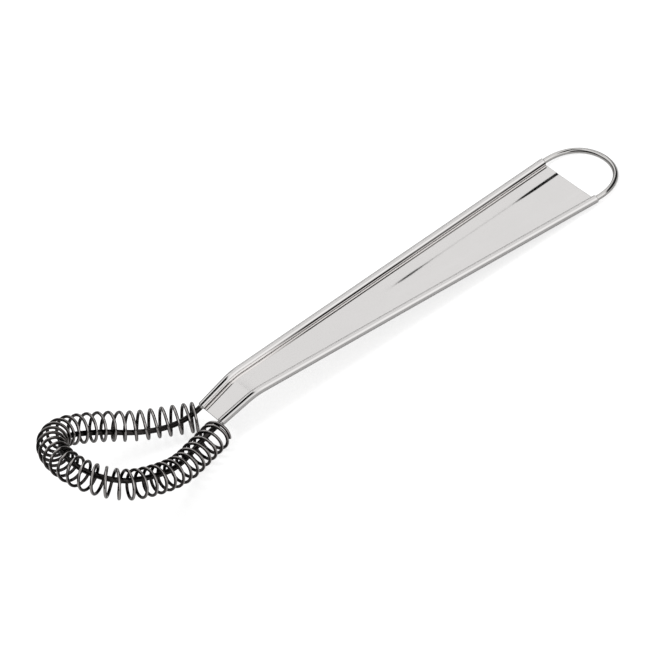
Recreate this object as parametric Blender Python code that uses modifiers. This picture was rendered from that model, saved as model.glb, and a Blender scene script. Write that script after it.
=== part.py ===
"""Spoon whisk of stainless steel.

A coil of spring wire is threaded on a loop of thicker wire. The two legs of that wire run through
the rolled edges of a tapered sheet handle and join behind it in a hanging loop.

The pieces are made in the tool's own frame: X runs from the tip of the head towards the hanging
loop, Y across, and Z up from the flat of the head. An empty then tips and lifts them together into
the pose in which the tool lies on a worktop, on the heel of its coil and on its hanging loop.
"""
import math

import bmesh
import bpy
import numpy as np

# Frame wire
WIRE_D = 0.0020
WIRE_JOINT_FROM_END = 0.040
WIRE_JOINT_GAP = 0.0005

# Head, measured on the frame wire's centre line
HEAD_LENGTH = 0.0564
HEAD_HALF_WIDTH = 0.0180
HEAD_WIDEST_FROM_TIP = 0.0138
HEAD_TIP_REACH = 0.0120
HEAD_SHOULDER_REACH = 0.0059
HEAD_FLANK_REACH = 0.0225
HEAD_THROAT_REACH = 0.0121
HEAD_RISE = 0.0118
HEAD_FLAT_LENGTH = 0.0299

# Handle
NECK_LENGTH = 0.0156
NECK_SLOPE = math.radians(43.4)
NECK_HALF_WIDTH = 0.0063
HANDLE_LENGTH = 0.1449
HANDLE_SLOPE = math.radians(27.7)
HANDLE_END_HALF_WIDTH = 0.0161
BEND_RADIUS = 0.025
SHEET = 0.00035
EDGE_CLEARANCE = 0.00012
LIP_GAP = 0.00015

# Hanging loop
HANGER_DEPTH = 0.0161
HANGER_SHOULDER_REACH = 0.0114
HANGER_CROWN_REACH = 0.0081

# Coil
COIL_D = 0.0111
COIL_WIRE_D = 0.00115
COIL_PITCH = 0.00392
COIL_CLOSE_PITCH = 0.00162
COIL_CLOSE_TURNS = 1.1
COIL_CLEARANCE = 0.0003
COIL_START_ANGLE = math.radians(53)
COIL_FREE_RUN = 0.0195
COIL_END_GAP = 0.0028
COIL_LIFT = math.radians(24)
COIL_LIFT_RUN = 0.0350

# Facets
WIRE_BEVEL_RESOLUTION = 3
COIL_BEVEL_RESOLUTION = 1
POINTS_PER_CURL = 9
GAP_POINTS_PER_CURL = 36
BEND_STEPS = 6
HANDLE_STEPS = 8
CURVE_STEPS = 14
CURL_STEP = math.radians(24)
WEB_STEPS = 3

# Sizes that follow from the ones above
EDGE_RADIUS = WIRE_D / 2 + EDGE_CLEARANCE + SHEET / 2
BEND_TRIM = BEND_RADIUS * math.tan((NECK_SLOPE - HANDLE_SLOPE) / 2)
BEND_ARC = BEND_RADIUS * (NECK_SLOPE - HANDLE_SLOPE)
NECK_STRAIGHT = NECK_LENGTH - BEND_TRIM
HANDLE_STRAIGHT = HANDLE_LENGTH - BEND_TRIM
PLATE_LENGTH = NECK_STRAIGHT + BEND_ARC + HANDLE_STRAIGHT
TAPER = (HANDLE_END_HALF_WIDTH - NECK_HALF_WIDTH) / PLATE_LENGTH
COIL_RADIUS = (COIL_D - COIL_WIRE_D) / 2
COIL_OFFSET = COIL_RADIUS - COIL_WIRE_D / 2 - COIL_CLEARANCE - WIRE_D / 2


def spine(distance):
    """The handle's middle line, at the height of the wire: x, z and slope at a distance from the neck end."""
    before = min(distance, NECK_STRAIGHT)
    turned = min(max(distance - NECK_STRAIGHT, 0.0), BEND_ARC) / BEND_RADIUS
    after = max(distance - NECK_STRAIGHT - BEND_ARC, 0.0)
    slope = NECK_SLOPE - turned
    x = HEAD_LENGTH + before * math.cos(NECK_SLOPE)
    x += BEND_RADIUS * (math.sin(NECK_SLOPE) - math.sin(slope)) + after * math.cos(slope)
    z = HEAD_RISE + before * math.sin(NECK_SLOPE)
    z += BEND_RADIUS * (math.cos(slope) - math.cos(NECK_SLOPE)) + after * math.sin(slope)
    return x, z, slope


def half_width(distance):
    """Distance of the wire's centre from the middle plane, at a distance along the spine."""
    return NECK_HALF_WIDTH + TAPER * distance


def edge_point(distance, side):
    """Centre of the wire inside one rolled edge, on the +Y side for 1 and on the -Y side for -1."""
    x, z, _ = spine(distance)
    return x, side * half_width(distance), z


def plate_stations():
    """Distances along the spine at which the sheet and the wire in it have their sections."""
    neck = [0.0]
    bend = [NECK_STRAIGHT + BEND_ARC * i / BEND_STEPS for i in range(BEND_STEPS + 1)]
    start = NECK_STRAIGHT + BEND_ARC
    handle = [start + HANDLE_STRAIGHT * i / HANDLE_STEPS for i in range(1, HANDLE_STEPS + 1)]
    return neck + bend + handle


def cubic(p0, p1, p2, p3, steps):
    """Points of one cubic curve, both ends included."""
    t = np.linspace(0.0, 1.0, steps + 1)[:, None]
    corners = [np.array(p, dtype=float) for p in (p0, p1, p2, p3)]
    weights = [(1 - t) ** 3, 3 * (1 - t) ** 2 * t, 3 * (1 - t) * t ** 2, t ** 3]
    return sum(weight * corner for weight, corner in zip(weights, corners))


def head_half_path(steps):
    """The frame wire from the head's tip to the handle's mouth, on the +Y side.

    In plan it is two curves that meet at the widest place. It stays flat near the tip, then climbs as a
    power of the distance, with the exponent that ends at the neck's own slope.
    """
    tip, widest = (0.0, 0.0), (HEAD_WIDEST_FROM_TIP, HEAD_HALF_WIDTH)
    mouth = (HEAD_LENGTH, NECK_HALF_WIDTH)
    taper_angle = math.atan(TAPER / math.cos(NECK_SLOPE))
    throat = (HEAD_LENGTH - HEAD_THROAT_REACH * math.cos(taper_angle),
              NECK_HALF_WIDTH - HEAD_THROAT_REACH * math.sin(taper_angle))
    front = cubic(tip, (0.0, HEAD_TIP_REACH),
                  (HEAD_WIDEST_FROM_TIP - HEAD_SHOULDER_REACH, HEAD_HALF_WIDTH), widest, steps)
    back = cubic(widest, (HEAD_WIDEST_FROM_TIP + HEAD_FLANK_REACH, HEAD_HALF_WIDTH), throat, mouth, steps)
    plan = np.vstack([front, back[1:]])
    run = HEAD_LENGTH - HEAD_FLAT_LENGTH
    power = math.tan(NECK_SLOPE) * run / HEAD_RISE
    climb = HEAD_RISE * np.clip((plan[:, 0] - HEAD_FLAT_LENGTH) / run, 0.0, None) ** power
    return np.column_stack([plan, climb])


def hanger_half_path(steps):
    """The hanging loop from its crown to the +Y rolled edge: one curve, tangent to the taper."""
    x, z, slope = spine(PLATE_LENGTH)
    lean = math.atan(TAPER)
    flat = cubic((HANGER_DEPTH, 0.0), (HANGER_DEPTH, HANGER_CROWN_REACH),
                 (HANGER_SHOULDER_REACH * math.cos(lean),
                  HANDLE_END_HALF_WIDTH + HANGER_SHOULDER_REACH * math.sin(lean)),
                 (0.0, HANDLE_END_HALF_WIDTH), steps)
    return np.column_stack([x + flat[:, 0] * math.cos(slope), flat[:, 1], z + flat[:, 0] * math.sin(slope)])


def whole(half):
    """A half path that starts in the middle plane, with its mirror image: a path from +Y to -Y."""
    return np.vstack([half[::-1], half[1:] * np.array([1.0, -1.0, 1.0])])


def wire_path():
    """The frame wire's centre line, from its joint in the -Y rolled edge round both loops and back."""
    stations = plate_stations()
    joint = PLATE_LENGTH - WIRE_JOINT_FROM_END
    behind = [joint + WIRE_JOINT_GAP / 2] + [d for d in stations if d > joint + WIRE_JOINT_GAP]
    before = [d for d in stations if d < joint - WIRE_JOINT_GAP] + [joint - WIRE_JOINT_GAP / 2]
    hanger = whole(hanger_half_path(CURVE_STEPS))[::-1]
    head = whole(head_half_path(CURVE_STEPS))
    return np.vstack([
        [edge_point(d, -1) for d in behind],
        hanger[1:-1],
        [edge_point(d, 1) for d in reversed(stations)],
        head[1:-1],
        [edge_point(d, -1) for d in before],
    ])


def unit(vectors):
    """The same vectors at length one."""
    return vectors / np.linalg.norm(vectors, axis=1)[:, None]


def path_length(points):
    """Running length along a path."""
    return np.concatenate([[0.0], np.cumsum(np.linalg.norm(np.diff(points, axis=0), axis=1))])


def coil_axis():
    """The coil's own centre line and its outward side, from the +Y mouth round the tip to the -Y mouth.

    The coil is pressed outwards, so its inner side bears on the wire, and it rides higher the nearer it
    comes to the handle. It is stiffer than the climb is wide, so its ends run straight on while the
    wire rises through them to the handle.
    """
    wire = whole(head_half_path(CURVE_STEPS * 4))
    tangent = unit(np.gradient(wire, axis=0))
    outward = unit(np.column_stack([tangent[:, 1], -tangent[:, 0], np.zeros(len(wire))]))
    up = np.cross(outward, tangent)
    length = path_length(wire)
    from_mouth = np.minimum(length, length[-1] - length)
    share = np.clip((COIL_FREE_RUN + COIL_LIFT_RUN - from_mouth) / COIL_LIFT_RUN, 0.0, 1.0)
    angle = (COIL_LIFT * share ** 2 * (3.0 - 2.0 * share))[:, None]
    axis = wire + COIL_OFFSET * (np.cos(angle) * outward + np.sin(angle) * up)
    kept = from_mouth >= COIL_FREE_RUN
    axis, outward = axis[kept], outward[kept]
    run = np.linspace(COIL_FREE_RUN - COIL_END_GAP, 0.0, CURVE_STEPS, endpoint=False)[:, None]
    start = axis[0] + run * unit(axis[:1] - axis[1:2])
    end = axis[-1] + run[::-1] * unit(axis[-1:] - axis[-2:-1])
    axis = np.vstack([start, axis, end])
    sides = [np.repeat(outward[:1], len(run), axis=0), outward, np.repeat(outward[-1:], len(run), axis=0)]
    return axis, np.vstack(sides)


def coil_points(points_per_curl):
    """The helix round the coil's centre line: at an even pitch, but closer wound at both ends."""
    axis, outward = coil_axis()
    length = path_length(axis)
    even_turns = (length[-1] - 2 * COIL_CLOSE_TURNS * COIL_CLOSE_PITCH) / COIL_PITCH
    turns = even_turns + 2 * COIL_CLOSE_TURNS
    turn = np.linspace(0.0, turns, int(turns * points_per_curl) + 1)
    even = np.clip(turn - COIL_CLOSE_TURNS, 0.0, even_turns)
    distance = even * COIL_PITCH + (turn - even) * COIL_CLOSE_PITCH
    centre = np.column_stack([np.interp(distance, length, axis[:, k]) for k in range(3)])
    tangents = unit(np.gradient(axis, axis=0))
    tangent = unit(np.column_stack([np.interp(distance, length, tangents[:, k]) for k in range(3)]))
    side = np.column_stack([np.interp(distance, length, outward[:, k]) for k in range(3)])
    side = unit(side - tangent * np.sum(side * tangent, axis=1)[:, None])
    other = np.cross(tangent, side)
    angle = (COIL_START_ANGLE + 2 * math.pi * turn)[:, None]
    return centre + COIL_RADIUS * (np.cos(angle) * side + np.sin(angle) * other)


def least_gap():
    """Smallest clear distance between parts of the coil that lie at least half a turn apart."""
    points = coil_points(GAP_POINTS_PER_CURL)
    apart = GAP_POINTS_PER_CURL // 2
    nearest = min(np.linalg.norm(points[i + apart:] - points[i], axis=1).min()
                  for i in range(len(points) - apart))
    return nearest - COIL_WIRE_D


def material(name, colour, roughness):
    """A steel finish."""
    made = bpy.data.materials.new(name)
    made.use_nodes = True
    shader = made.node_tree.nodes["Principled BSDF"]
    shader.inputs["Base Color"].default_value = (*colour, 1.0)
    shader.inputs["Metallic"].default_value = 1.0
    shader.inputs["Roughness"].default_value = roughness
    made.diffuse_color = (*colour, 1.0)
    return made


def add_object(name, data, finish, collection, parent):
    """Puts a mesh or curve into the scene under the tool's empty."""
    made = bpy.data.objects.new(name, data)
    data.materials.append(finish)
    made.parent = parent
    collection.objects.link(made)
    return made


def tube(name, points, diameter, resolution, finish, collection, parent):
    """A wire: one open polyline with a round bevel and closed ends."""
    curve = bpy.data.curves.new(name, "CURVE")
    curve.dimensions = "3D"
    curve.bevel_depth = diameter / 2
    curve.bevel_resolution = resolution
    curve.use_fill_caps = True
    spline = curve.splines.new("POLY")
    spline.points.add(len(points) - 1)
    spline.points.foreach_set("co", np.column_stack([points, np.ones(len(points))]).ravel())
    spline.use_smooth = True
    return add_object(name, curve, finish, collection, parent)


def edge_section():
    """Half of the sheet's section at its mid-thickness, from the middle to the lip of the rolled edge.

    Each entry is a share of the flat web's half width, then the offset past the wire's centre line and
    the height above it. The curl runs round the wire and stops short of the web by the lip's gap.
    """
    inner, outer = EDGE_RADIUS - SHEET / 2, EDGE_RADIUS + SHEET / 2
    lip = math.asin((inner - LIP_GAP) / outer)
    start, end = -math.pi / 2, math.pi + lip
    steps = math.ceil((end - start) / CURL_STEP)
    web = [(i / WEB_STEPS, 0.0, -EDGE_RADIUS) for i in range(WEB_STEPS)]
    angles = [start + (end - start) * i / steps for i in range(steps + 1)]
    return web + [(1.0, EDGE_RADIUS * math.cos(a), EDGE_RADIUS * math.sin(a)) for a in angles]


def handle_plate(finish, collection, parent):
    """The tapered sheet: a half section lofted along the spine, mirrored and given its thickness."""
    section = edge_section()
    sheet = bmesh.new()
    rows = []
    for distance in plate_stations():
        x, z, slope = spine(distance)
        width = half_width(distance)
        rows.append([sheet.verts.new((x - height * math.sin(slope), share * width + past,
                                      z + height * math.cos(slope))) for share, past, height in section])
    for row, following in zip(rows, rows[1:]):
        for k in range(len(section) - 1):
            sheet.faces.new((row[k], following[k], following[k + 1], row[k + 1]))
    mesh = bpy.data.meshes.new("handle_plate")
    sheet.to_mesh(mesh)
    sheet.free()
    plate = add_object("handle_plate", mesh, finish, collection, parent)
    mirror = plate.modifiers.new("both sides", "MIRROR")
    mirror.use_axis = (False, True, False)
    mirror.merge_threshold = 0.0001
    wall = plate.modifiers.new("sheet thickness", "SOLIDIFY")
    wall.thickness = SHEET
    wall.offset = 0.0
    wall.use_even_offset = True
    mesh.shade_smooth()
    mesh.set_sharp_from_angle(angle=math.radians(40))
    return plate


def lowest(points, radius, pitch):
    """Height of the lowest side of a tube when the tool is tipped forward by pitch."""
    return float(np.min(points[:, 2] * math.cos(pitch) - points[:, 0] * math.sin(pitch))) - radius


def resting_pitch(wire, coil):
    """The tip at which the coil's heel and the hanging loop are equally low, found by halving."""
    low, high = 0.0, math.radians(80)
    while high - low > 1e-7:
        middle = (low + high) / 2
        if lowest(coil, COIL_WIRE_D / 2, middle) < lowest(wire, WIRE_D / 2, middle):
            low = middle
        else:
            high = middle
    return low


def settle(root, pieces):
    """Lowers the tool on to Z = 0 and centres its length on the origin."""
    bpy.context.view_layer.update()
    graph = bpy.context.evaluated_depsgraph_get()
    corners = []
    for piece in pieces:
        evaluated = piece.evaluated_get(graph)
        mesh = evaluated.to_mesh()
        corners += [evaluated.matrix_world @ vertex.co for vertex in mesh.vertices]
        evaluated.to_mesh_clear()
    lengths = [corner.x for corner in corners]
    root.location.x -= (min(lengths) + max(lengths)) / 2
    root.location.z -= min(corner.z for corner in corners)
    bpy.context.view_layer.update()


def main():
    """Builds the whisk in an emptied scene."""
    for old in list(bpy.data.objects):
        bpy.data.objects.remove(old)
    collection = bpy.data.collections.new("spoon_whisk")
    bpy.context.scene.collection.children.link(collection)
    root = bpy.data.objects.new("whisk_frame", None)
    collection.objects.link(root)

    wire, coil = wire_path(), coil_points(POINTS_PER_CURL)
    sheet_steel = material("pressed stainless sheet", (0.78, 0.78, 0.77), 0.22)
    drawn_steel = material("drawn stainless wire", (0.72, 0.72, 0.71), 0.18)
    spring_steel = material("hard drawn spring wire", (0.55, 0.55, 0.55), 0.20)
    pieces = [
        handle_plate(sheet_steel, collection, root),
        tube("frame_wire", wire, WIRE_D, WIRE_BEVEL_RESOLUTION, drawn_steel, collection, root),
        tube("coil_spring", coil, COIL_WIRE_D, COIL_BEVEL_RESOLUTION, spring_steel, collection, root),
    ]
    root.rotation_euler.y = resting_pitch(wire, coil)
    settle(root, pieces)
    print(f"coil: least gap to itself {least_gap() * 1000:.2f} mm")
    print(f"tipped by {math.degrees(root.rotation_euler.y):.2f} degrees, at {tuple(root.location)}")


main()
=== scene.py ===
"""Looks of the spoon whisk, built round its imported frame.

Three pieces replace the three CAD nodes: the pressed sheet handle with its rolled edges, the wire loop
that runs through them, and the spring coil threaded on that loop. Each is a surface worked out with
numpy in the tool's own frame: X from the head's tip to the hanging loop, Y across, Z up from the flat
of the head. The tool is then tipped and lifted on to the table as the CAD model is.
"""
import math
from types import SimpleNamespace

import bmesh
import bpy
import numpy as np
from bpy.props import FloatProperty, FloatVectorProperty, IntProperty, PointerProperty
from mathutils import Matrix, Vector


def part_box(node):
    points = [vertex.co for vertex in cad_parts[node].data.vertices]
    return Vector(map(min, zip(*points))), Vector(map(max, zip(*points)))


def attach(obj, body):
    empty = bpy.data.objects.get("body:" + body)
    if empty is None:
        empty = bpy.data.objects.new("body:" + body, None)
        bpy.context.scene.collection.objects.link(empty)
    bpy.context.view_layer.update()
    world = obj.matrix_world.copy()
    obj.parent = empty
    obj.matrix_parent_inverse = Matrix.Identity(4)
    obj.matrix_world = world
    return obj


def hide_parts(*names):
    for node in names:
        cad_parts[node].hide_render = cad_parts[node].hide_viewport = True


bl_info = {
    "name": "Spoon whisk",
    "version": (1, 0, 0),
    "blender": (4, 5, 0),
    "location": "3D View > Sidebar > Whisk",
    "description": "Builds a coil whisk with a pressed steel handle, its finishes and a plain stage",
    "category": "Object",
}

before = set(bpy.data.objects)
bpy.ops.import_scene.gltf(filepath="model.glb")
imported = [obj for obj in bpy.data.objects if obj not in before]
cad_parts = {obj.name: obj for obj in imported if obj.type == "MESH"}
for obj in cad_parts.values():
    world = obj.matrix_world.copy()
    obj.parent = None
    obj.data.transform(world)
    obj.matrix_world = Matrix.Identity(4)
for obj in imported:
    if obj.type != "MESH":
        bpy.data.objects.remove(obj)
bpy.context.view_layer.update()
BODY = "root"
MERGE = 1e-7
BISECTION_STEPS = 40
STEEPEST_TIP = math.radians(80)

# Stations along the handle, and points across it: in the middle of the web, in its creased zone, round
# the rolled edge and round its lip
NECK_STATIONS, BEND_STATIONS, HANDLE_STATIONS = 6, 28, 90
MIDDLE_POINTS, CREASE_POINTS, CURL_POINTS, RIM_POINTS = 8, 56, 74, 7
# Width of the creased zone beside the rolled edge, and what it leaves free in the narrow neck
CREASE_ZONE, NARROW_MARGIN = 0.0112, 0.0005
# The web dips to the rolled edge's foot between two distances from the wire's centre
DIP_FROM, DIP_TO = 0.0013, 0.0007
# Steps along half a loop, sides of both wires, and their rounding as a share of their radius
WIRE_STEPS, WIRE_SIDES, COIL_SIDES = 56, 24, 14
WIRE_ROUNDING, COIL_ROUNDING = 0.6, 0.45
# Angles of the rings that round a cut end over, and how far behind the sheet's rounding two more
# stations lie that keep it small
ROUNDING_ANGLES = np.radians([0.0, 30.0, 60.0, 90.0])
END_SUPPORTS = (0.00006, 0.0002)

# Tilt of the crease as a share of its full tilt, at distances from the wide end: the press bit deeply
# at the end and once more half way along, and less between
CREASE_PLACES = (0.0, 0.012, 0.0165, 0.0215, 0.034, 0.041, 0.053,
                 0.059, 0.065, 0.070, 0.075, 0.079, 0.083)
CREASE_SHARES = (1.0, 0.95, 0.75, 0.47, 0.44, 0.46, 0.43,
                 0.47, 0.58, 0.72, 0.58, 0.30, 0.0)
# Angles round the rolled edge, from straight below the wire, between which painted shade comes in over
# its inside
PAINTED_SHADE_FROM = (60.0, 150.0)
# A dark line of painted shade along the inner side of the rolled edge, for the shade in the gap under its
# lip:
# where it starts and ends round the roll, in degrees from its outside over its top, how soft its edges
# are, and how dark it is at distances from the wide end
LINE_FROM, LINE_TO, LINE_SOFT = 156.0, 185.0, 2.0
LINE_PLACES = (0.0, 0.012, 0.022, 0.060, 0.072, 0.112, 0.122, 0.131)
LINE_SHARES = (1.0, 1.0, 0.8, 0.8, 1.0, 1.0, 0.5, 0.0)
# Cosines of the angle round the spring wire from the coil's outside: the wire has painted shade up to the
# first, and a painted highlight that grows to full from there to the second
PAINTED_HIGHLIGHT_FROM = (0.72, 1.0)

# Sheet: buffing lines and handling clouds to the metre, how much the clouds leave of its colour, its
# roughness where it is buffed and where it has painted shade, and the depth of the lines
BUFFING_LINES, CLOUDS, CLOUDED = (25.0, 4000.0, 4000.0), 70.0, 0.975
BUFFED_ROUGHNESS, PAINTED_SHADE_ROUGHNESS, BUFFING_DEPTH = (0.05, 0.11), 0.4, 4e-7
# Wires: roughness where bright and where shade is painted, length and distance of the drawing lines,
# their depth
LOOP_FINISH = (0.06, 0.26, 0.018, 0.00016, 6e-7)
SPRING_FINISH = (0.08, 0.12, 0.009, 0.00012, 6e-7)

# Room: the level of its pale walls and ceiling. Its two dark end walls start softly between two angles
# lengthwise in degrees, and have the level that follows.
ROOM = 0.99
END_WALLS = (33.0, 42.0, 0.02)
# Cards: degrees lengthwise and round, half length, half width, softness and level. Two dark ones stand
# low on the far side, two hang over the handle, a black one over the head, and a black strip half way
# up on the far side.
CARDS = (
    (-30.0, 12.0, 42.0, 22.0, 5.0, 0.10),
    (15.0, 2.0, 50.0, 16.0, 3.0, 0.25),
    (22.0, 95.0, 14.0, 12.0, 8.0, 0.90),
    (24.0, 143.0, 14.0, 18.0, 5.0, 1.22),
    (-8.0, 101.0, 12.5, 27.0, 2.0, 0.0),
    (21.0, 47.9, 13.0, 3.2, 0.35, 0.0),
)
# Level of the world as matt surfaces get it, and its gain where the steel mirrors it twice or more, as
# between highly polished walls. The world reads a Ray Depth of 2 after one mirroring, and more than
# ONE_MIRRORING after the next.
AMBIENT = 0.32
MIRRORED_AGAIN, ONE_MIRRORING = 0.4, 2.5
# Glow of the floor as the camera and as the steel sees it, and half its width
FLOOR_SEEN, FLOOR_MIRRORED, FLOOR_HALF = 0.72, 0.06, 3.0
LAMP_PLACE, LAMP_SIZE = (-0.5, 0.3, 1.4), 0.8


def length(name, text, metres):
    """A size in metres that the user may change."""
    return FloatProperty(name=name, description=text, default=metres, min=0.0, precision=6,
                         subtype="DISTANCE", unit="LENGTH")


def slope(name, text, degrees):
    """An angle that the user may change, given here in degrees."""
    return FloatProperty(name=name, description=text, default=math.radians(degrees), subtype="ANGLE")


def linear(code):
    """The linear colour of an sRGB hex value such as DAD8D6."""
    shares = [int(code[i:i + 2], 16) / 255 for i in (0, 2, 4)]
    return tuple(s / 12.92 if s <= 0.04045 else ((s + 0.055) / 1.055) ** 2.4 for s in shares)


def colour(name, text, code):
    """A colour that the user may change, given here as sRGB hex."""
    return FloatVectorProperty(name=name, description=text, default=linear(code), size=3,
                               min=0.0, max=1.0, subtype="COLOR")


class WhiskHandleSizes(bpy.types.PropertyGroup):
    """Sizes of the pressed sheet handle."""
    neck_length: length("Neck length", "From the mouth to the corner of the bend", 0.0156)
    neck_slope: slope("Neck slope", "Climb of the neck from the flat of the head", 43.4)
    neck_half_width: length("Neck half width", "Middle to the wire's centre at the mouth", 0.0063)
    handle_length: length("Handle length", "From the corner of the bend to the wide end", 0.1449)
    handle_slope: slope("Handle slope", "Climb of the handle from the flat of the head", 27.7)
    end_half_width: length("End half width", "Middle to the wire's centre at the wide end", 0.0161)
    bend_radius: length("Bend radius", "Radius of the bend behind the neck", 0.025)
    sheet: length("Sheet", "Thickness of the steel sheet", 0.00035)
    edge_clearance: length("Edge clearance", "Room between the wire and the rolled edge", 0.00012)
    web_lift: length("Web lift", "Height of the web over the foot of the rolled edges", 0.00035)
    lip: slope("Lip", "Where the rolled edge ends, from its outside over its top", 203)
    crease_from_edge: length("Crease place", "From the centre of the rolled edge to the crease", 0.0086)
    crease_reach: length("Crease reach", "Half width of the soft crease in the web", 0.0008)
    crease_tilt: slope("Crease tilt", "Steepest tilt of the web in the crease", 4.5)


class WhiskWireSizes(bpy.types.PropertyGroup):
    """Sizes of the wire loop."""
    diameter: length("Wire diameter", "Thickness of the loop's wire", 0.0020)
    joint_from_end: length("Joint place", "From the wide end to the wire's joint", 0.040)
    joint_gap: length("Joint gap", "Between the wire's two ends", 0.0005)
    head_length: length("Head length", "From the tip to the handle's mouth", 0.0564)
    head_half_width: length("Head half width", "Middle to the wire at the widest place", 0.0180)
    widest_from_tip: length("Widest place", "From the tip to the widest place", 0.0138)
    tip_reach: length("Tip reach", "How far the tip stays blunt", 0.0120)
    shoulder_reach: length("Shoulder reach", "How far it runs straight before the widest place", 0.0059)
    flank_reach: length("Flank reach", "How far it runs straight behind the widest place", 0.0225)
    throat_reach: length("Throat reach", "How far it runs straight before the mouth", 0.0121)
    head_rise: length("Head rise", "Height of the mouth over the flat of the head", 0.0118)
    flat_length: length("Flat length", "From the tip to where the wire starts to climb", 0.0299)
    hanger_depth: length("Hanging loop depth", "How far the loop stands out of the handle", 0.0161)
    hanger_shoulder: length("Hanging loop shoulder", "How far its legs run straight", 0.0114)
    hanger_crown: length("Hanging loop crown", "How far its crown stays blunt", 0.0081)


class WhiskCoilSizes(bpy.types.PropertyGroup):
    """Sizes of the spring coil."""
    diameter: length("Coil diameter", "Outside diameter of the coil", 0.0111)
    wire: length("Spring wire", "Thickness of the spring wire", 0.00115)
    pitch: length("Pitch", "From turn to turn", 0.00392)
    close_pitch: length("Close pitch", "From turn to turn at both ends", 0.00162)
    close_turns: FloatProperty(name="Close turns", description="Turns wound closer at each end",
                               default=1.1)
    clearance: length("Clearance", "Between the coil and the wire that it bears on", 0.0003)
    start_angle: slope("Start angle", "Place of the spring wire's first end round the coil", 53)
    free_run: length("Free run", "From the mouth to where the coil leaves the wire", 0.0195)
    end_gap: length("End gap", "From the coil's end to the handle's mouth", 0.0028)
    lift: slope("Lift", "How far the coil rides up towards the handle", 24)
    lift_run: length("Lift run", "Length in which the coil rides up", 0.0350)
    points_per_turn: IntProperty(name="Points per turn", description="Fineness of the coil", default=44)


class WhiskFinish(bpy.types.PropertyGroup):
    """Colours of the three steels and of the floor, with the painted shade and painted highlight on the
    steels.
    """
    sheet: colour("Sheet", "Polished pressed stainless sheet", "DCDAD9")
    wire: colour("Wire", "Bright drawn stainless wire", "D6D4D2")
    # Painted shade: a dark colour that stands in for the shade on the wire inside the coil, inside the
    # rolled edges and in the gap along their inner side
    painted_shade: colour("Dark film", "Left on the wire under the coil, and on the sheet where no buff reaches",
                 "2B2827")
    # Painted shade and painted highlight of the spring wire: the first colour stands in for the shade
    # between the turns, the second for the highlight on their outside
    spring: colour("Spring wire", "Hard drawn spring wire in the turns' shade", "3E3A39")
    painted_highlight: colour("Rubbed spring wire", "The same wire rubbed bright outside", "C2BEBC")
    floor: colour("Floor", "Pale matt floor", "F2F2F2")


class WhiskStage(bpy.types.PropertyGroup):
    """Camera and light."""
    azimuth: slope("Camera azimuth", "Round the tool, 0 looking along +Y", -21.741)
    elevation: slope("Camera elevation", "Above the horizon", 39.897)
    roll: slope("Camera roll", "Turn of the picture", -20.595)
    distance: length("Camera distance", "From the camera to the point it aims at", 2.0)
    aim: FloatVectorProperty(name="Aim", description="Point the camera aims at", size=3,
                             default=(-0.00297, 0.00600, 0.00698), precision=6, subtype="XYZ")
    lens: FloatProperty(name="Lens", description="Focal length in millimetres", default=313.81)
    key: FloatProperty(name="Key lamp", description="Power of the lamp overhead, in watts", default=5.0)


def tool_sizes(scene):
    """The settings with the sizes that follow from them."""
    handle, wire, coil = scene.whisk_handle, scene.whisk_wire, scene.whisk_coil
    turned = handle.neck_slope - handle.handle_slope
    trim = handle.bend_radius * math.tan(turned / 2)
    size = SimpleNamespace(handle=handle, wire=wire, coil=coil)
    size.bend_arc = handle.bend_radius * turned
    size.neck_straight = handle.neck_length - trim
    size.handle_straight = handle.handle_length - trim
    size.plate_length = size.neck_straight + size.bend_arc + size.handle_straight
    size.taper = (handle.end_half_width - handle.neck_half_width) / size.plate_length
    size.edge_radius = wire.diameter / 2 + handle.edge_clearance + handle.sheet / 2
    size.coil_radius = (coil.diameter - coil.wire) / 2
    size.coil_offset = size.coil_radius - coil.wire / 2 - coil.clearance - wire.diameter / 2
    return size


def unit(vectors):
    """The same vectors at length one."""
    return vectors / np.linalg.norm(vectors, axis=-1, keepdims=True)


def running_length(points):
    """Running length along a path."""
    return np.concatenate([[0.0], np.cumsum(np.linalg.norm(np.diff(points, axis=0), axis=1))])


def smooth_step(values, low, high):
    """0 below low, 1 above high, and three t squared less two t cubed between them."""
    t = np.clip((values - low) / (high - low), 0.0, 1.0)
    return t * t * (3.0 - 2.0 * t)


def spine(size, distance):
    """The handle's middle line at the height of the wire: a straight neck, an arc and a straight handle.

    Returns x, z and slope for an array of distances from the mouth.
    """
    handle = size.handle
    before = np.minimum(distance, size.neck_straight)
    turned = np.clip(distance - size.neck_straight, 0.0, size.bend_arc) / handle.bend_radius
    after = np.maximum(distance - size.neck_straight - size.bend_arc, 0.0)
    tilt = handle.neck_slope - turned
    x = (size.wire.head_length + before * math.cos(handle.neck_slope)
         + handle.bend_radius * (math.sin(handle.neck_slope) - np.sin(tilt)) + after * np.cos(tilt))
    z = (size.wire.head_rise + before * math.sin(handle.neck_slope)
         + handle.bend_radius * (np.cos(tilt) - math.cos(handle.neck_slope)) + after * np.sin(tilt))
    return x, z, tilt


def edge_line(size, distance, side):
    """Centre of the wire inside one rolled edge: its half width grows evenly along the spine."""
    x, z, _ = spine(size, distance)
    return np.column_stack([x, side * (size.handle.neck_half_width + size.taper * distance), z])


def plate_stations(size):
    """Distances along the spine: close in the bend, even in the handle, and closer at both cut ends."""
    bend = size.neck_straight + np.linspace(0.0, size.bend_arc, BEND_STATIONS)
    handle = np.linspace(bend[-1], size.plate_length, HANDLE_STATIONS)[1:-1]
    neck = np.linspace(0.0, size.neck_straight, NECK_STATIONS)[1:-1]
    return np.concatenate([neck, bend, handle])


def cubic(p0, p1, p2, p3, steps):
    """Points of one cubic curve with both ends: the four corners weighted by Bernstein's terms."""
    t = np.linspace(0.0, 1.0, steps + 1)[:, None]
    corners = [np.array(p, dtype=float) for p in (p0, p1, p2, p3)]
    weights = [(1 - t) ** 3, 3 * (1 - t) ** 2 * t, 3 * (1 - t) * t ** 2, t ** 3]
    return sum(weight * corner for weight, corner in zip(weights, corners))


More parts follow.
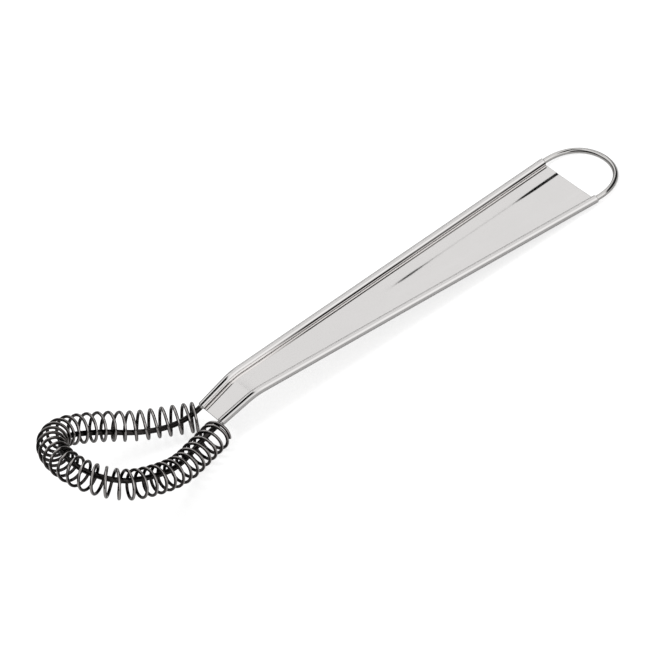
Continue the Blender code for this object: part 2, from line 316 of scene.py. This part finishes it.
def head_half_path(size, steps):
    """The wire from the tip to the mouth on the +Y side.

    In plan two cubic curves meet at the widest place. The climb is a power of the distance past the
    flat, with the exponent that ends at the neck's own slope.
    """
    wire, handle = size.wire, size.handle
    lean = math.atan(size.taper / math.cos(handle.neck_slope))
    throat = (wire.head_length - wire.throat_reach * math.cos(lean),
              handle.neck_half_width - wire.throat_reach * math.sin(lean))
    widest = (wire.widest_from_tip, wire.head_half_width)
    front = cubic((0.0, 0.0), (0.0, wire.tip_reach),
                  (wire.widest_from_tip - wire.shoulder_reach, wire.head_half_width), widest, steps)
    back = cubic(widest, (wire.widest_from_tip + wire.flank_reach, wire.head_half_width), throat,
                 (wire.head_length, handle.neck_half_width), steps)
    plan = np.vstack([front, back[1:]])
    run = wire.head_length - wire.flat_length
    power = math.tan(handle.neck_slope) * run / wire.head_rise
    climb = wire.head_rise * np.clip((plan[:, 0] - wire.flat_length) / run, 0.0, None) ** power
    return np.column_stack([plan, climb])


def hanger_half_path(size, steps):
    """The hanging loop from its crown to the +Y rolled edge: one cubic, tangent to the taper."""
    wire, end = size.wire, size.handle.end_half_width
    x, z, tilt = (float(value) for value in spine(size, np.float64(size.plate_length)))
    lean = math.atan(size.taper)
    flat = cubic((wire.hanger_depth, 0.0), (wire.hanger_depth, wire.hanger_crown),
                 (wire.hanger_shoulder * math.cos(lean), end + wire.hanger_shoulder * math.sin(lean)),
                 (0.0, end), steps)
    return np.column_stack([x + flat[:, 0] * math.cos(tilt), flat[:, 1], z + flat[:, 0] * math.sin(tilt)])


def whole(half):
    """A half path that starts in the middle plane, with its mirror image: a path from +Y to -Y."""
    return np.vstack([half[::-1], half[1:] * np.array([1.0, -1.0, 1.0])])


def wire_path(size):
    """The wire's centre line, from its joint in the -Y rolled edge round both loops and back.

    Returns the points, and how much painted shade each carries: all of it under the coil, where it stands
    in for the shade of the coil's turns, and none in the handle or on the hanging loop.
    """
    joint = size.plate_length - size.wire.joint_from_end
    gap = size.wire.joint_gap
    inner = np.concatenate([[0.0], plate_stations(size), [size.plate_length]])
    behind = np.concatenate([[joint + gap / 2], inner[inner > joint + gap]])
    before = np.concatenate([inner[inner < joint - gap], [joint - gap / 2]])
    hanger = whole(hanger_half_path(size, WIRE_STEPS))[::-1][1:-1]
    head = whole(head_half_path(size, WIRE_STEPS))[1:-1]
    points = np.vstack([edge_line(size, behind, -1), hanger, edge_line(size, inner[::-1], 1), head,
                        edge_line(size, before, -1)])
    # Painted shade on the stretch of wire that runs inside the coil's turns
    painted_shade = np.zeros(len(points))
    painted_shade[-len(before) - len(head):-len(before)] = 1.0
    return points, painted_shade


def coil_axis(size):
    """The coil's centre line and its outward side, from the +Y mouth round the tip to the -Y mouth.

    It is the wire's path pushed outwards, so that the coil's inner side bears on the wire, with
    straight ends that run on while the wire climbs through them.
    """
    coil = size.coil
    wire = whole(head_half_path(size, WIRE_STEPS))
    tangent = unit(np.gradient(wire, axis=0))
    outward = unit(np.column_stack([tangent[:, 1], -tangent[:, 0], np.zeros(len(wire))]))
    up = np.cross(outward, tangent)
    run = running_length(wire)
    from_mouth = np.minimum(run, run[-1] - run)
    lowered = smooth_step(from_mouth, coil.free_run, coil.free_run + coil.lift_run)
    angle = coil.lift * (1.0 - lowered)[:, None]
    axis = wire + size.coil_offset * (np.cos(angle) * outward + np.sin(angle) * up)
    kept = from_mouth >= coil.free_run
    axis, outward = axis[kept], outward[kept]
    straight = np.linspace(coil.free_run - coil.end_gap, 0.0, WIRE_STEPS, endpoint=False)[:, None]
    start = axis[0] + straight * unit(axis[:1] - axis[1:2])
    end = axis[-1] + straight[::-1] * unit(axis[-1:] - axis[-2:-1])
    sides = np.vstack([np.repeat(outward[:1], WIRE_STEPS, axis=0), outward,
                       np.repeat(outward[-1:], WIRE_STEPS, axis=0)])
    return np.vstack([start, axis, end]), sides


def coil_path(size):
    """The spring wire's centre line: a helix round the coil's axis, closer wound at both ends.

    Centre plus radius times (cosine of the turn along the side, sine of it along the other), where
    side is the outward direction made square to the axis. Returns the points and the way out of the
    coil at each.
    """
    coil = size.coil
    axis, outward = coil_axis(size)
    run = running_length(axis)
    even_turns = (run[-1] - 2 * coil.close_turns * coil.close_pitch) / coil.pitch
    turns = even_turns + 2 * coil.close_turns
    turn = np.linspace(0.0, turns, int(turns * coil.points_per_turn) + 1)
    even = np.clip(turn - coil.close_turns, 0.0, even_turns)
    distance = even * coil.pitch + (turn - even) * coil.close_pitch
    tangents = unit(np.gradient(axis, axis=0))
    centre, tangent, side = (np.column_stack([np.interp(distance, run, table[:, k]) for k in range(3)])
                             for table in (axis, tangents, outward))
    tangent = unit(tangent)
    side = unit(side - tangent * np.sum(side * tangent, axis=1, keepdims=True))
    angle = (coil.start_angle + 2 * math.pi * turn)[:, None]
    radial = np.cos(angle) * side + np.sin(angle) * np.cross(tangent, side)
    return centre + size.coil_radius * radial, radial


def tube(points, first, radius, sides, rounding):
    """A round wire: a circle carried along a path, with its cut ends rounded over.

    Each ring is the point plus the radius times (cosine along first, sine along the third direction).
    At the ends the rings step out along the path by the rounding times sine, and shrink by the
    rounding times one less cosine, down to a point. Returns the rings, the running length and the
    angle of each vertex.
    """
    tangent = unit(np.gradient(points, axis=0))
    first = unit(first - tangent * np.sum(first * tangent, axis=1, keepdims=True))
    turned = ROUNDING_ANGLES[1:]
    out = np.concatenate([rounding * np.sin(turned), [rounding]])
    shrink = np.concatenate([radius - rounding * (1.0 - np.cos(turned)), [0.0]])
    inset = points.copy()
    inset[0] += tangent[0] * rounding
    inset[-1] -= tangent[-1] * rounding
    start = inset[0] - out[::-1, None] * tangent[0]
    end = inset[-1] + out[:, None] * tangent[-1]
    centre = np.vstack([start, inset, end])
    radii = np.concatenate([shrink[::-1], np.full(len(points), radius), shrink])
    pad = [(len(out), len(out)), (0, 0)]
    first, tangent = np.pad(first, pad, mode="edge"), np.pad(tangent, pad, mode="edge")
    third = np.cross(tangent, first)
    angle = np.linspace(0.0, 2 * math.pi, sides, endpoint=False)
    around = np.cos(angle)[None, :, None] * first[:, None] + np.sin(angle)[None, :, None] * third[:, None]
    rings = centre[:, None] + radii[:, None, None] * around
    return rings, running_length(centre), angle


def plate_section(size, distance):
    """The sheet's mid-surface in the section plane: across and up for each station and point.

    From the middle to the +Y lip: the flat web with its soft crease, a smooth dip to the roll's foot,
    and a circle round the wire from straight below it, over the outside and the top, to the lip. The
    crease is a small step whose slope is the tilt over the squared hyperbolic cosine of the distance
    from the crease, so its height is a hyperbolic tangent. Returns across, up and how far the curl has
    turned (nothing in the web).
    """
    handle = size.handle
    half = (handle.neck_half_width + size.taper * distance)[:, None]
    narrow = np.minimum(1.0, (half - NARROW_MARGIN) / CREASE_ZONE)
    zone = np.linspace(CREASE_ZONE, 0.0, CREASE_POINTS)[None]
    crease = half - zone * narrow
    middle = np.linspace(0.0, 1.0, MIDDLE_POINTS, endpoint=False)[None] * crease[:, :1]
    web = np.hstack([middle, crease])
    share = np.interp(size.plate_length - distance, CREASE_PLACES, CREASE_SHARES)[:, None]
    rise = handle.crease_reach * math.tan(handle.crease_tilt) * share
    past = (half - web - handle.crease_from_edge) / handle.crease_reach
    lift = handle.web_lift * smooth_step(half - web, DIP_TO, DIP_FROM)
    web_up = lift - size.edge_radius - rise * (1.0 + np.tanh(past))
    turned = np.linspace(0.0, math.pi / 2 + handle.lip, CURL_POINTS + 1)[None, 1:]
    turned = np.repeat(turned, len(half), axis=0)
    curl = half + size.edge_radius * np.sin(turned)
    curl_up = -size.edge_radius * np.cos(turned)
    turned = np.hstack([np.zeros(web.shape), turned])
    return np.hstack([web, curl]), np.hstack([web_up, curl_up]), turned


def plate_surface(size):
    """The handle's closed surface, as rings round the sheet's section, and the painted shade of each
    point.

    The mid-surface is moved half a thickness to each side along the section's own normal, and the two
    sides are joined round the lips by half circles. At both cut ends the thickness shrinks as the
    cosine while the station moves out as the sine, which rounds the cut edge. Painted shade is whole
    inside the rolled edges and along a line on their inner side, for the shade of their hollow and of the
    gap under the lip, and gone elsewhere.
    """
    half_sheet = size.handle.sheet / 2
    turned = ROUNDING_ANGLES[::-1]
    first = half_sheet * (1.0 - np.sin(turned))
    first = np.concatenate([first, half_sheet + np.array(END_SUPPORTS)])
    distance = np.concatenate([first, plate_stations(size), (size.plate_length - first)[::-1]])
    full = np.ones(len(distance) - 2 * len(turned))
    thick = np.concatenate([np.cos(turned), full, np.cos(turned)[::-1]])[:, None, None] * half_sheet
    across, up, curl = plate_section(size, distance)
    across = np.hstack([-across[:, :0:-1], across])
    up = np.hstack([up[:, :0:-1], up])
    curl = np.hstack([curl[:, :0:-1], curl])
    middle = np.stack([across, up], axis=-1)
    along = unit(np.gradient(middle, axis=1))
    normal = np.stack([-along[..., 1], along[..., 0]], axis=-1)
    turn = np.linspace(0.0, math.pi, RIM_POINTS)[None, 1:-1, None]
    rims = [middle[:, at] + thick * sign * (np.cos(turn) * normal[:, at] + np.sin(turn) * along[:, at])
            for at, sign in ((slice(-1, None), 1.0), (slice(0, 1), -1.0))]
    loop = np.hstack([middle + thick * normal, rims[0], (middle - thick * normal)[:, ::-1], rims[1]])
    x, z, tilt = (value[:, None] for value in spine(size, distance))
    rings = np.stack([x - loop[..., 1] * np.sin(tilt), loop[..., 0],
                      z + loop[..., 1] * np.cos(tilt)], axis=-1)
    # Painted shade inside the rolled edge, and a painted shadow line along the gap on its inner side
    inside = smooth_step(np.degrees(curl), *PAINTED_SHADE_FROM)
    over = np.degrees(curl) - 90.0
    line = (smooth_step(over, LINE_FROM - LINE_SOFT, LINE_FROM + LINE_SOFT)
            * smooth_step(over, LINE_TO + LINE_SOFT, LINE_TO - LINE_SOFT)
            * np.interp(size.plate_length - distance, LINE_PLACES, LINE_SHARES)[:, None])
    rim = np.zeros((len(curl), RIM_POINTS - 2))
    return rings, np.hstack([inside, rim, line[:, ::-1], rim])


def tip_and_place(size):
    """The matrix from the tool's frame to the table, found as the CAD model finds it.

    The angle of the tip is halved in on until the coil and the hanging loop are equally low. The height
    puts the lowest of both on the table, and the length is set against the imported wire's own box.
    """
    wire, coil = wire_path(size)[0], coil_path(size)[0]
    wire_radius, coil_radius = size.wire.diameter / 2, size.coil.wire / 2

    def lowest(points, radius, pitch):
        return float(np.min(points[:, 2] * math.cos(pitch) - points[:, 0] * math.sin(pitch))) - radius

    low, high = 0.0, STEEPEST_TIP
    for _ in range(BISECTION_STEPS):
        middle = (low + high) / 2
        if lowest(coil, coil_radius, middle) < lowest(wire, wire_radius, middle):
            low = middle
        else:
            high = middle
    turn = Matrix.Rotation(low, 4, "Y")
    furthest = float(np.max(wire[:, 0] * math.cos(low) + wire[:, 2] * math.sin(low))) + wire_radius
    shift = Vector((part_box("frame_wire")[1].x - furthest, 0.0, -lowest(wire, wire_radius, low)))
    return Matrix.Translation(shift) @ turn


def grid_mesh(name, rings, place, fields, uv=None):
    """A mesh from closed rings: four-sided faces between neighbours, doubles merged, faces outwards.

    fields maps a name to one number for each vertex. uv gives the running length and the distance round
    the wire in metres, with one column more than a ring has points, so that the last face closes it.
    """
    count, round_ = rings.shape[:2]
    matrix = np.array(place)
    points = rings.reshape(-1, 3) @ matrix[:3, :3].T + matrix[:3, 3]
    index = np.arange(count * round_).reshape(count, round_)
    following = np.roll(index, -1, axis=1)
    faces = np.stack([index[:-1], following[:-1], following[1:], index[1:]], axis=-1).reshape(-1, 4)
    mesh = bpy.data.meshes.new(name)
    mesh.from_pydata(points.tolist(), [], faces.tolist())
    for field, values in fields.items():
        layer = mesh.attributes.new(field, "FLOAT", "POINT")
        layer.data.foreach_set("value", np.ascontiguousarray(values, dtype=np.float32).ravel())
    if uv is not None:
        pairs = np.stack([uv[:-1, :-1], uv[:-1, 1:], uv[1:, 1:], uv[1:, :-1]], axis=-2)
        mesh.uv_layers.new(name="wire").data.foreach_set("uv", pairs.astype(np.float32).ravel())
    shape = bmesh.new()
    shape.from_mesh(mesh)
    bmesh.ops.remove_doubles(shape, verts=shape.verts, dist=MERGE)
    bmesh.ops.recalc_face_normals(shape, faces=shape.faces)
    shape.to_mesh(mesh)
    shape.free()
    mesh.shade_smooth()
    return mesh


def put(name, mesh, finish, node):
    """Puts a finished mesh into the scene in place of its CAD node."""
    mesh.materials.append(finish)
    piece = bpy.data.objects.new(name, mesh)
    bpy.context.scene.collection.objects.link(piece)
    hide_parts(node)
    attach(piece, BODY)
    return piece


def add(tree, kind, inputs=None, **settings):
    """Adds a node. An input is a value, or another node's output that is linked to it."""
    made = tree.nodes.new(kind)
    for name, value in settings.items():
        setattr(made, name, value)
    for name, value in (inputs or {}).items():
        socket = made.inputs[name]
        if isinstance(value, bpy.types.NodeSocket):
            tree.links.new(value, socket)
        else:
            socket.default_value = value
    return made


def steel(name):
    """A new metal material, its tree and its shader."""
    made = bpy.data.materials.new(name)
    made.use_nodes = True
    tree = made.node_tree
    shader = tree.nodes["Principled BSDF"]
    shader.inputs["Metallic"].default_value = 1.0
    return made, tree, shader


def link_steel(tree, shader, shade, rough, bump):
    """Links a steel's colour, roughness and fine lines to its shader."""
    for socket, output in (("Base Color", shade), ("Roughness", rough), ("Normal", bump)):
        tree.links.new(output, shader.inputs[socket])


def sheet_material(look):
    """Stainless sheet, rolled bright and buffed along its length.

    It mirrors the room with soft fine lines along the handle, a little clouded by handling. It is dull
    and carries painted shade inside the rolled edges, and in a line along their inner side where the gap
    under the lip is in shade.
    """
    made, tree, shader = steel("Buffed stainless sheet")
    place = add(tree, "ShaderNodeTexCoord").outputs["Object"]
    # Buffing lines 40 mm long and 0.25 mm apart, three times as coarse as real ones so that they show
    stretched = add(tree, "ShaderNodeMapping", {"Vector": place, "Scale": BUFFING_LINES})
    buffed = add(tree, "ShaderNodeTexNoise",
                 {"Vector": stretched.outputs[0], "Scale": 1.0, "Detail": 3.0}).outputs[0]
    # Handling clouds about 14 mm across
    clouds = add(tree, "ShaderNodeTexNoise", {"Vector": place, "Scale": CLOUDS, "Detail": 2.0}).outputs[0]
    # Painted shade inside the rolled edges and along the gap line on their inner side
    painted_shade = add(tree, "ShaderNodeAttribute", attribute_name="painted_shade").outputs["Fac"]
    tone = add(tree, "ShaderNodeMapRange",
               {"Value": clouds, "From Min": 0.35, "From Max": 0.65, "To Min": CLOUDED, "To Max": 1.0})
    base = add(tree, "ShaderNodeVectorMath", {0: look.sheet[:], 1: tone.outputs[0]}, operation="MULTIPLY")
    shade = add(tree, "ShaderNodeMix", {0: painted_shade, 6: base.outputs[0], 7: (*look.painted_shade, 1.0)},
                data_type="RGBA")
    gloss = add(tree, "ShaderNodeMath", {0: buffed, 1: clouds}, operation="ADD")
    finest, coarsest = BUFFED_ROUGHNESS
    rough = add(tree, "ShaderNodeMapRange", {"Value": gloss.outputs[0], "From Min": 0.7, "From Max": 1.3,
                                             "To Min": finest, "To Max": coarsest})
    dull = add(tree, "ShaderNodeMix", {0: painted_shade, 2: rough.outputs[0], 3: PAINTED_SHADE_ROUGHNESS},
               data_type="FLOAT")
    bump = add(tree, "ShaderNodeBump", {"Height": buffed, "Distance": BUFFING_DEPTH})
    link_steel(tree, shader, shade.outputs[2], dull.outputs[0], bump.outputs[0])
    return made


def wire_material(name, bright, dark, share, gloss, dullness, line_length, line_gap, depth):
    """A drawn steel wire: fine lines along it from the drawing die, between a bright colour and a dark
    painted shade.

    share names the attribute that is 0 where the wire shows its bright colour and 1 where it has painted
    shade.
    """
    made, tree, shader = steel(name)
    along = add(tree, "ShaderNodeUVMap", uv_map="wire").outputs["UV"]
    stretched = add(tree, "ShaderNodeMapping",
                    {"Vector": along, "Scale": (1 / line_length, 1 / line_gap, 1.0)})
    lines = add(tree, "ShaderNodeTexNoise",
                {"Vector": stretched.outputs[0], "Scale": 1.0, "Detail": 3.0}).outputs[0]
    painted_shade = add(tree, "ShaderNodeAttribute", attribute_name=share).outputs["Fac"]
    # The painted shade is weaker along some of the drawing lines and stronger along others
    ragged = add(tree, "ShaderNodeMath", {0: lines, 1: 0.5, 2: -0.25}, operation="MULTIPLY_ADD")
    painted_shade_and_lines = add(tree, "ShaderNodeMath", {0: painted_shade, 1: ragged.outputs[0]},
               operation="ADD", use_clamp=True).outputs[0]
    shade = add(tree, "ShaderNodeMix", {0: painted_shade_and_lines, 6: (*bright, 1.0), 7: (*dark, 1.0)}, data_type="RGBA")
    rough = add(tree, "ShaderNodeMapRange", {"Value": painted_shade_and_lines, "To Min": gloss, "To Max": dullness})
    bump = add(tree, "ShaderNodeBump", {"Height": lines, "Distance": depth})
    link_steel(tree, shader, shade.outputs[2], rough.outputs[0], bump.outputs[0])
    return made


def wire_grid(name, rings, run, radius, place, fields):
    """A wire's mesh, with its running length and the distance round it as its UV map."""
    girth = np.linspace(0.0, 2 * math.pi * radius, rings.shape[1] + 1)
    uv = np.stack(np.broadcast_arrays(run[:, None], girth[None]), axis=-1)
    return grid_mesh(name, rings, place, fields, uv)


class WHISK_OT_handle(bpy.types.Operator):
    """Builds the pressed sheet handle"""
    bl_idname = "whisk.handle"
    bl_label = "Sheet handle"

    def execute(self, context):
        scene = context.scene
        size = tool_sizes(scene)
        rings, painted_shade = plate_surface(size)
        mesh = grid_mesh("sheet_handle", rings, tip_and_place(size), {"painted_shade": painted_shade})
        put("sheet_handle", mesh, sheet_material(scene.whisk_finish), "handle_plate")
        return {"FINISHED"}


class WHISK_OT_wire(bpy.types.Operator):
    """Builds the wire loop that carries the coil and ends in the hanging loop"""
    bl_idname = "whisk.wire"
    bl_label = "Wire loop"

    def execute(self, context):
        scene = context.scene
        size, look = tool_sizes(scene), scene.whisk_finish
        points, painted_shade = wire_path(size)
        radius = size.wire.diameter / 2
        level = np.cross((0.0, 0.0, 1.0), unit(np.gradient(points, axis=0)))
        rings, run, _ = tube(points, level, radius, WIRE_SIDES, radius * WIRE_ROUNDING)
        ends = (len(rings) - len(painted_shade)) // 2
        painted_shade = np.broadcast_to(np.pad(painted_shade, ends, mode="edge")[:, None], rings.shape[:2])
        mesh = wire_grid("wire_loop", rings, run, radius, tip_and_place(size), {"painted_shade": painted_shade})
        finish = wire_material("Bright drawn stainless wire", look.wire, look.painted_shade, "painted_shade", *LOOP_FINISH)
        put("wire_loop", mesh, finish, "frame_wire")
        return {"FINISHED"}


class WHISK_OT_coil(bpy.types.Operator):
    """Builds the spring coil on the head"""
    bl_idname = "whisk.coil"
    bl_label = "Spring coil"

    def execute(self, context):
        scene = context.scene
        size, look = tool_sizes(scene), scene.whisk_finish
        points, radial = coil_path(size)
        radius = size.coil.wire / 2
        rings, run, angle = tube(points, radial, radius, COIL_SIDES, radius * COIL_ROUNDING)
        # Painted highlight on the side of each turn that faces out of the coil, and painted shade round
        # the rest of the wire
        shaded = 1.0 - smooth_step(np.cos(angle), *PAINTED_HIGHLIGHT_FROM)
        shaded = np.broadcast_to(shaded[None], rings.shape[:2])
        mesh = wire_grid("spring_coil", rings, run, radius, tip_and_place(size), {"shaded": shaded})
        finish = wire_material("Hard drawn spring wire", look.painted_highlight, look.spring, "shaded",
                               *SPRING_FINISH)
        put("spring_coil", mesh, finish, "coil_spring")
        return {"FINISHED"}


def heading(lengthwise, round_):
    """The direction at two angles in degrees.

    The first turns it towards the hanging loop, and the second up from the far horizon over the top.
    """
    aside, over = math.radians(lengthwise), math.radians(round_)
    return Vector((math.sin(aside), math.cos(aside) * math.cos(over), math.cos(aside) * math.sin(over)))


def studio(scene):
    """The room that the steel mirrors: pale, but dark at both its ends, with cards hung in it.

    Each card is as bright as its level inside two dot products with its own length and width, and
    hangs lengthwise along the tool. The camera sees plain white instead, and the floor an even grey.
    """
    world = bpy.data.worlds.new("Studio")
    world.use_nodes = True
    scene.world = world
    tree = world.node_tree
    tree.nodes.clear()
    towards = add(tree, "ShaderNodeTexCoord").outputs["Generated"]
    endways = add(tree, "ShaderNodeSeparateXYZ", {0: towards}).outputs["X"]
    off = add(tree, "ShaderNodeMath", {0: endways}, operation="ABSOLUTE")
    starts, ends, dark = END_WALLS
    level = add(tree, "ShaderNodeMapRange",
                {"Value": off.outputs[0], "From Min": math.sin(math.radians(starts)),
                 "From Max": math.sin(math.radians(ends)), "To Min": ROOM, "To Max": dark},
                interpolation_type="SMOOTHSTEP").outputs[0]
    for lengthwise, round_, half_length, half_width, soft, bright in CARDS:
        centre = heading(lengthwise, round_)
        along = (Vector((1.0, 0.0, 0.0)) - centre * centre.x).normalized()
        facing = add(tree, "ShaderNodeVectorMath", {0: towards, 1: centre}, operation="DOT_PRODUCT")
        mask = add(tree, "ShaderNodeMath", {0: facing.outputs["Value"], 1: 0.0},
                   operation="GREATER_THAN").outputs[0]
        for axis, half in ((along, half_length), (centre.cross(along), half_width)):
            off = add(tree, "ShaderNodeVectorMath", {0: towards, 1: axis}, operation="DOT_PRODUCT")
            off = add(tree, "ShaderNodeMath", {0: off.outputs["Value"]}, operation="ABSOLUTE")
            outer, inner = (math.sin(math.radians(half + side)) for side in (soft, -soft))
            edge = add(tree, "ShaderNodeMapRange",
                       {"Value": off.outputs[0], "From Min": outer, "From Max": inner},
                       interpolation_type="SMOOTHSTEP").outputs[0]
            mask = add(tree, "ShaderNodeMath", {0: mask, 1: edge}, operation="MULTIPLY").outputs[0]
        level = add(tree, "ShaderNodeMix", {0: mask, 2: level, 3: bright}, data_type="FLOAT").outputs[0]
    ray = add(tree, "ShaderNodeLightPath")
    again = add(tree, "ShaderNodeMath", {0: ray.outputs["Ray Depth"], 1: ONE_MIRRORING},
                operation="GREATER_THAN")
    gain = add(tree, "ShaderNodeMath", {0: again.outputs[0], 1: MIRRORED_AGAIN, 2: 1.0},
               operation="MULTIPLY_ADD")
    level = add(tree, "ShaderNodeMath", {0: level, 1: gain.outputs[0]}, operation="MULTIPLY").outputs[0]
    mirrored = add(tree, "ShaderNodeMix", {0: ray.outputs["Is Glossy Ray"], 2: AMBIENT, 3: level},
                   data_type="FLOAT")
    seen = add(tree, "ShaderNodeMix", {0: ray.outputs["Is Camera Ray"], 2: mirrored.outputs[0], 3: 1.0},
               data_type="FLOAT")
    back = add(tree, "ShaderNodeBackground", {"Color": (1.0, 1.0, 1.0, 1.0), "Strength": seen.outputs[0]})
    add(tree, "ShaderNodeOutputWorld", {"Surface": back.outputs[0]})


def floor_material(look):
    """Matt white board that takes the tool's soft shadow, with the glow that meets the white backdrop."""
    made = bpy.data.materials.new("Matt white board")
    made.use_nodes = True
    tree = made.node_tree
    tree.nodes.clear()
    matt = add(tree, "ShaderNodeBsdfDiffuse", {"Color": (*look.floor, 1.0)})
    ray = add(tree, "ShaderNodeLightPath")
    mirrored = add(tree, "ShaderNodeMath", {0: ray.outputs["Is Glossy Ray"], 1: FLOOR_MIRRORED},
                   operation="MULTIPLY")
    glow = add(tree, "ShaderNodeMath",
               {0: ray.outputs["Is Camera Ray"], 1: FLOOR_SEEN, 2: mirrored.outputs[0]},
               operation="MULTIPLY_ADD")
    light = add(tree, "ShaderNodeEmission", {"Strength": glow.outputs[0]})
    both = add(tree, "ShaderNodeAddShader", {0: matt.outputs[0], 1: light.outputs[0]})
    add(tree, "ShaderNodeOutputMaterial", {"Surface": both.outputs[0]})
    return made


class WHISK_OT_stage(bpy.types.Operator):
    """Puts up the floor, the light and the camera"""
    bl_idname = "whisk.stage"
    bl_label = "Stage"

    def execute(self, context):
        scene = context.scene
        stage = scene.whisk_stage
        studio(scene)
        corners = np.array([(-1, -1, 0), (1, -1, 0), (1, 1, 0), (-1, 1, 0)]) * FLOOR_HALF
        sheet = bpy.data.meshes.new("floor")
        sheet.from_pydata(corners.tolist(), [], [(0, 1, 2, 3)])
        sheet.materials.append(floor_material(scene.whisk_finish))
        floor = bpy.data.objects.new("floor", sheet)
        scene.collection.objects.link(floor)

        lamp = bpy.data.lights.new("key", "AREA")
        lamp.energy, lamp.size = stage.key, LAMP_SIZE
        key = bpy.data.objects.new("key", lamp)
        key.location = LAMP_PLACE
        key.rotation_euler = (-Vector(LAMP_PLACE)).to_track_quat("-Z", "Y").to_euler()
        key.visible_glossy = False
        scene.collection.objects.link(key)

        lens = bpy.data.cameras.new("camera")
        lens.lens = stage.lens
        lens.clip_start, lens.clip_end = 0.1, 20.0
        camera = bpy.data.objects.new("camera", lens)
        back = Vector((math.sin(stage.azimuth) * math.cos(stage.elevation),
                       -math.cos(stage.azimuth) * math.cos(stage.elevation), math.sin(stage.elevation)))
        upright = back.to_track_quat("Z", "Y")
        camera.rotation_mode = "QUATERNION"
        camera.rotation_quaternion = upright @ Matrix.Rotation(stage.roll, 3, "Z").to_quaternion()
        camera.location = Vector(stage.aim) + back * stage.distance
        scene.collection.objects.link(camera)
        scene.camera = camera
        scene.view_settings.view_transform = "Standard"
        return {"FINISHED"}


class WHISK_PT_panel(bpy.types.Panel):
    """Lists the whisk's sizes, finishes and pieces"""
    bl_label = "Spoon whisk"
    bl_space_type = "VIEW_3D"
    bl_region_type = "UI"
    bl_category = "Whisk"

    def draw(self, context):
        for operator in OPERATORS:
            self.layout.operator(operator.bl_idname)
        for name, group in GROUPS.items():
            box = self.layout.box()
            for field in group.__annotations__:
                box.prop(getattr(context.scene, name), field)


GROUPS = {"whisk_handle": WhiskHandleSizes, "whisk_wire": WhiskWireSizes, "whisk_coil": WhiskCoilSizes,
          "whisk_finish": WhiskFinish, "whisk_stage": WhiskStage}
OPERATORS = (WHISK_OT_handle, WHISK_OT_wire, WHISK_OT_coil, WHISK_OT_stage)


def register():
    """Adds the classes to Blender and the settings to the scene."""
    for made in (*GROUPS.values(), *OPERATORS, WHISK_PT_panel):
        bpy.utils.register_class(made)
    for name, group in GROUPS.items():
        setattr(bpy.types.Scene, name, PointerProperty(type=group))


def unregister():
    """Takes the settings and the classes away again."""
    for name in GROUPS:
        delattr(bpy.types.Scene, name)
    for made in (WHISK_PT_panel, *reversed(OPERATORS), *reversed(GROUPS.values())):
        bpy.utils.unregister_class(made)


def main():
    """Builds the pieces and the stage."""
    register()
    bpy.ops.whisk.handle()
    bpy.ops.whisk.wire()
    bpy.ops.whisk.coil()
    bpy.ops.whisk.stage()


if __name__ == "__main__":
    main()
